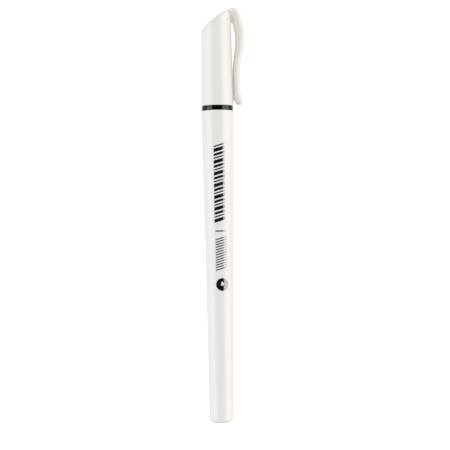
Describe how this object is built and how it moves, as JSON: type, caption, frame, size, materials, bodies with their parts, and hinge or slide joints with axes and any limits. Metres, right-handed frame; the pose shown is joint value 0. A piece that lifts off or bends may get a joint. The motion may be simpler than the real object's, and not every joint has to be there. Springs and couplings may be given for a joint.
{
  "type": "calligraphy marker",
  "caption": "Slim brush-nib calligraphy marker with a tapered barrel, a dark ring and a slant-topped pull-off cap with an arched pocket clip.",
  "frame": {"origin": "centre of the flat face at the barrel's tail, which the marker stands on", "axes": "+Z along the marker's axis from the tail to the crest of the cap, +X towards the pocket clip"},
  "size_m": [0.0161, 0.0118, 0.1515],
  "materials": {
    "barrel_plastic": "glossy moulded white plastic",
    "cap_plastic": "glossy moulded white plastic",
    "clip_plastic": "glossy moulded white plastic",
    "ring_plastic": "glossy black plastic",
    "section_plastic": "fine satin white plastic",
    "holder_plastic": "satin dark plastic",
    "liner_plastic": "waxy natural polypropylene",
    "nib_fibre": "ink-wet fibre brush",
    "wick_fibre": "ink-soaked bonded fibre",
    "reservoir_fibre": "ink-soaked bonded fibre",
    "film": "thin glossy film"
  },
  "bodies": {
    "barrel": {"barrel": "barrel_plastic", "colour_ring": "ring_plastic", "grip_section": "section_plastic", "nib_holder": "holder_plastic", "brush_nib": "nib_fibre", "feed_rod": "wick_fibre", "ink_reservoir": "reservoir_fibre", "reservoir_sleeve": "film"},
    "inner_cap": {"inner_cap": "liner_plastic"},
    "cap": {"cap_shell": "cap_plastic", "cap_top": "cap_plastic"},
    "clip": {"clip": "clip_plastic"}
  },
  "joints": [
    {"name": "cap_pull", "type": "slide", "parent": "barrel", "child": "inner_cap", "axis": [0, 0, 1], "range_m": [0, 0.04]},
    {"name": "cap_turn", "type": "hinge", "parent": "inner_cap", "child": "cap", "pos_m": [0, 0, 0.134], "axis": [0, 0, 1], "continuous": true},
    {"name": "clip_flex", "type": "hinge", "parent": "cap", "child": "clip", "pos_m": [0.0042, 0, 0.1482], "axis": [0, -1, 0], "range_deg": [0, 5], "stiffness_Nm_per_rad": 0.4}
  ]
}
